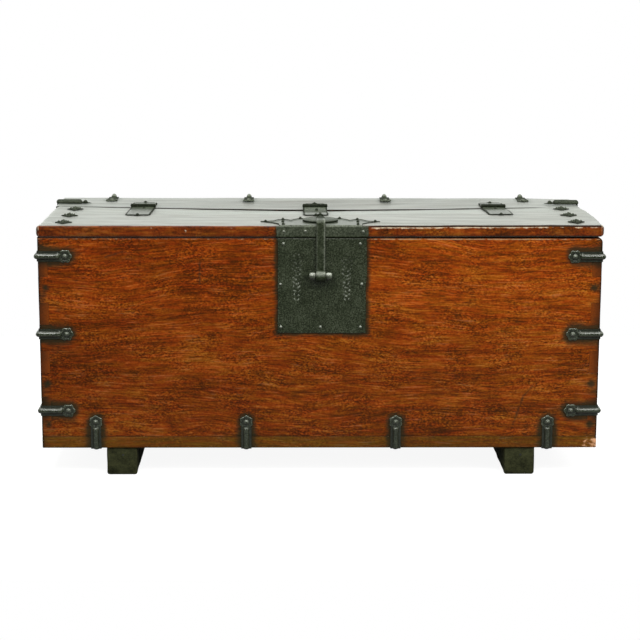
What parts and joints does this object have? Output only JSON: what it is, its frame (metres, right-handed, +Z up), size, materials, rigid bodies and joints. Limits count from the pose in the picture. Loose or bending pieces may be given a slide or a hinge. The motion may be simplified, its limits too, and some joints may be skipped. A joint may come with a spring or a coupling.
{
  "type": "money chest",
  "caption": "Long low wooden money chest on runner feet, finger-jointed and iron-strapped, with a hinged half lid and a hasp over lock staples.",
  "frame": {"origin": "on the floor, under the middle of the bounding box", "axes": "+X to the right along the chest's length, +Y from front to back, +Z up"},
  "size_m": [1.0136, 0.4242, 0.4702],
  "materials": {
    "wood": "worn reddish lacquer",
    "inner_wood": "plain, dry",
    "foot_wood": "dark, dull",
    "iron": "dark oiled forged iron"
  },
  "bodies": {
    "case": {"back_board": "wood", "bottom_board": "wood", "front_board": "wood", "front_bottom_strap_1": "iron", "front_bottom_strap_2": "iron", "front_bottom_strap_3": "iron", "front_bottom_strap_4": "iron", "front_left_strap_lower": "iron", "front_left_strap_middle": "iron", "front_left_strap_upper": "iron", "front_right_strap_lower": "iron", "front_right_strap_middle": "iron", "front_right_strap_upper": "iron", "left_foot": "foot_wood", "left_hinge_pin": "iron", "left_hinge_rear_leaf": "iron", "left_lock_staple": "iron", "left_side_board": "wood", "lock_plate": "iron", "middle_hinge_pin": "iron", "middle_hinge_rear_leaf": "iron", "rear_bottom_strap_1": "iron", "rear_bottom_strap_2": "iron", "rear_bottom_strap_3": "iron", "rear_bottom_strap_4": "iron", "rear_left_strap_lower": "iron", "rear_left_strap_middle": "iron", "rear_left_strap_upper": "iron", "rear_right_strap_lower": "iron", "rear_right_strap_middle": "iron", "rear_right_strap_upper": "iron", "rear_top_strap_1": "iron", "rear_top_strap_2": "iron", "rear_top_strap_3": "iron", "rear_top_strap_4": "iron", "right_foot": "foot_wood", "right_hinge_pin": "iron", "right_hinge_rear_leaf": "iron", "right_lock_staple": "iron", "right_side_board": "wood", "top_left_corner_strap": "iron", "top_rear_board": "wood", "top_right_corner_strap": "iron"},
    "lid": {"hasp_boss": "iron", "hasp_pivot_staple": "iron", "left_hinge_front_leaf": "iron", "left_lid_batten": "inner_wood", "lid_board": "wood", "lid_lock_plate": "iron", "lid_nail_left_front": "iron", "lid_nail_left_middle": "iron", "lid_nail_left_rear": "iron", "lid_nail_right_front": "iron", "lid_nail_right_middle": "iron", "lid_nail_right_rear": "iron", "middle_hinge_front_leaf": "iron", "right_hinge_front_leaf": "iron", "right_lid_batten": "inner_wood"},
    "hasp": {"hasp": "iron"}
  },
  "joints": [
    {"name": "lid_hinge", "type": "hinge", "parent": "case", "child": "lid", "pos_m": [0, 0.07335, 0.4569], "axis": [-1, 0, 0], "range_deg": [0, 160]},
    {"name": "hasp_swing", "type": "hinge", "parent": "lid", "child": "hasp", "pos_m": [0, -0.12165, 0.4659], "axis": [-1, 0, 0], "range_deg": [0, 130]}
  ]
}
